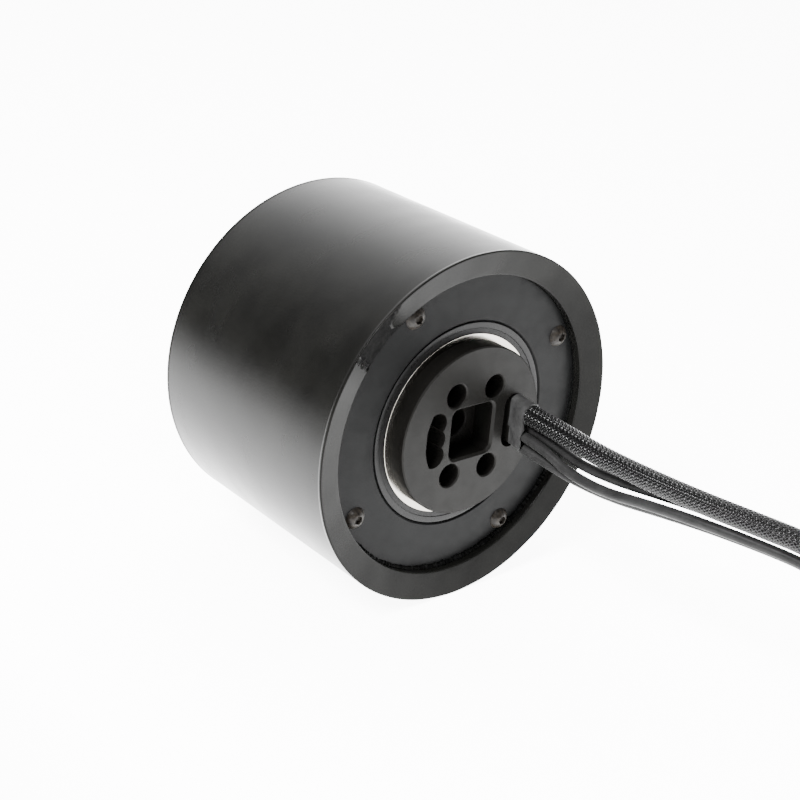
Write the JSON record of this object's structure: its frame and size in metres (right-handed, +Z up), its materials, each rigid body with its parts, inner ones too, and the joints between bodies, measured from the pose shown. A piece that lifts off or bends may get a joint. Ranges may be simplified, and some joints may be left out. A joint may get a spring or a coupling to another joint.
{
  "type": "brushless outrunner hub motor",
  "caption": "Outrunner hub wheel motor: tyre on a rotor can, fixed hollow axle with a square-pocket mounting face, sealed bearings, wound stator and a coiled cable harness.",
  "frame": {"origin": "centre of the hub axle's flat mounting face, on the spin axis", "axes": "+Y along the spin axis from the mounting face into the wheel, +Z up across the flats of the square pocket, +X to the right when looking at the face"},
  "size_m": [0.1023, 0.2534, 0.09],
  "materials": {
    "tyre": "satin, faintly mottled",
    "can_steel": "turned",
    "magnet": "nickel plate",
    "cover": "satin black",
    "screw": "blackened",
    "cap": "satin",
    "bearing_steel": "ground and polished",
    "cage_plastic": "natural nylon",
    "seal": "matte",
    "spring_steel": "blackened",
    "hub": "satin black",
    "carrier": "turned",
    "stack": "laminated",
    "insulator": "moulded",
    "copper": "enamelled wire",
    "board": "circuit board",
    "chip": "moulded",
    "boot": "matte shrink tube",
    "braid": "braided sleeve",
    "wire": "smooth",
    "coil": "cord turns",
    "tie": "moulded",
    "plug": "moulded",
    "gold": "gold plate"
  },
  "bodies": {
    "stator": {"hub_axle": "hub", "axle_key": "spring_steel", "stator_carrier": "carrier", "stator_core": "stack", "stator_insulators": "insulator", "stator_coils": "copper", "inner_bearing_inner_ring": "bearing_steel", "inner_bearing_circlip": "spring_steel", "outer_bearing_inner_ring": "bearing_steel", "outer_bearing_circlip": "spring_steel", "outer_bearing_spacer": "carrier", "hall_board": "board", "hall_sensors": "chip", "cable_boot": "boot", "sensor_cable": "braid", "phase_lead_a": "wire", "phase_lead_b": "wire", "phase_lead_c": "wire", "harness_coil": "coil", "cable_tie": "tie", "sensor_plug": "plug", "sensor_plug_pins": "gold", "bullet_sleeve_a": "wire", "bullet_sleeve_b": "wire", "bullet_sleeve_c": "wire", "bullet_pin_a": "gold", "bullet_pin_b": "gold", "bullet_pin_c": "gold"},
    "rotor": {"tyre": "tyre", "rotor_can": "can_steel", "magnets": "magnet", "inner_end_cover": "cover", "inner_cover_screws": "screw", "outer_end_cover": "cover", "outer_cover_screws": "screw", "dust_cap": "cap", "inner_bearing_outer_ring": "bearing_steel", "inner_bearing_seals": "seal", "outer_bearing_outer_ring": "bearing_steel", "outer_bearing_seals": "seal"},
    "inner_cage": {"inner_bearing_balls": "bearing_steel", "inner_bearing_cage": "cage_plastic"},
    "outer_cage": {"outer_bearing_balls": "bearing_steel", "outer_bearing_cage": "cage_plastic"}
  },
  "joints": [
    {"name": "rotor_spin", "type": "hinge", "parent": "stator", "child": "rotor", "pos_m": [0, 0, 0], "axis": [0, 1, 0], "continuous": true},
    {"name": "inner_cage_spin", "type": "hinge", "parent": "stator", "child": "inner_cage", "pos_m": [0, 0, 0], "axis": [0, 1, 0], "continuous": true},
    {"name": "outer_cage_spin", "type": "hinge", "parent": "stator", "child": "outer_cage", "pos_m": [0, 0, 0], "axis": [0, 1, 0], "continuous": true}
  ],
  "couplings": [
    {"joint": "inner_cage_spin", "follows": "rotor_spin", "ratio": 0.5251},
    {"joint": "outer_cage_spin", "follows": "rotor_spin", "ratio": 0.5532}
  ]
}
